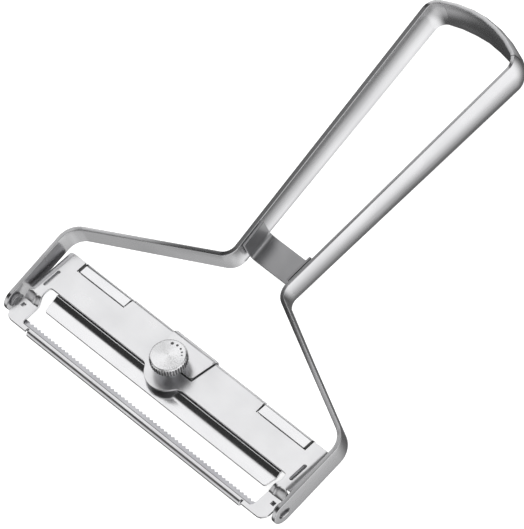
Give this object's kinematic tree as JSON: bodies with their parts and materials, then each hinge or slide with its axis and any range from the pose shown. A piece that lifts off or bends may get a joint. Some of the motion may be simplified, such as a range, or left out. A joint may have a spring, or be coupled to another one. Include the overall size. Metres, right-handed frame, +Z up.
{
  "type": "adjustable y peeler",
  "caption": "Wide Y-handled steel slicer-peeler: bent strip handle, tilting pressed cutter with a serrated blade, and a guide plate set by a knurled knob.",
  "frame": {"origin": "centre of the bounding box's base: the surface that the handle end and the cutter's rear corners rest on", "axes": "+Y from the cutter to the handle end, +X along the blade, +Z up through the plate's knob side"},
  "size_m": [0.139, 0.1906, 0.0166],
  "materials": {
    "handle_strip": "satin polished",
    "neck_bridge": "satin polished",
    "cutter_carrier": "satin polished",
    "serrated_blade": "ground",
    "guide_plate": "polished",
    "hinge_rod": "drawn wire",
    "brake_leaf": "satin polished",
    "thumb_knob": "turned",
    "adjusting_screw": "turned",
    "retaining_ring": "stamped",
    "threaded_bush": "turned",
    "pivot_washer_left": "stamped",
    "pivot_washer_right": "stamped"
  },
  "bodies": {
    "handle": {"handle_strip": "handle_strip", "neck_bridge": "neck_bridge"},
    "cutter": {"cutter_carrier": "cutter_carrier", "serrated_blade": "serrated_blade", "hinge_rod": "hinge_rod", "brake_leaf": "brake_leaf", "pivot_washer_left": "pivot_washer_left", "pivot_washer_right": "pivot_washer_right"},
    "guide": {"guide_plate": "guide_plate", "threaded_bush": "threaded_bush"},
    "knob": {"thumb_knob": "thumb_knob", "adjusting_screw": "adjusting_screw", "retaining_ring": "retaining_ring"}
  },
  "joints": [
    {"name": "cutter_swivel", "type": "hinge", "parent": "handle", "child": "cutter", "pos_m": [0, -0.08748, 0.008], "axis": [1, 0, 0], "range_deg": [-12, 35]},
    {"name": "knob_turn", "type": "hinge", "parent": "cutter", "child": "knob", "pos_m": [-0.0024, -0.07269, 0.00496], "axis": [0, 0.2011, 0.9796], "range_deg": [0, 300]},
    {"name": "guide_tilt", "type": "hinge", "parent": "cutter", "child": "guide", "pos_m": [0, -0.06271, 0.00386], "axis": [1, 0, 0], "range_deg": [0, 3.44]}
  ],
  "couplings": [
    {"joint": "guide_tilt", "follows": "knob_turn", "ratio": 0.011141}
  ]
}
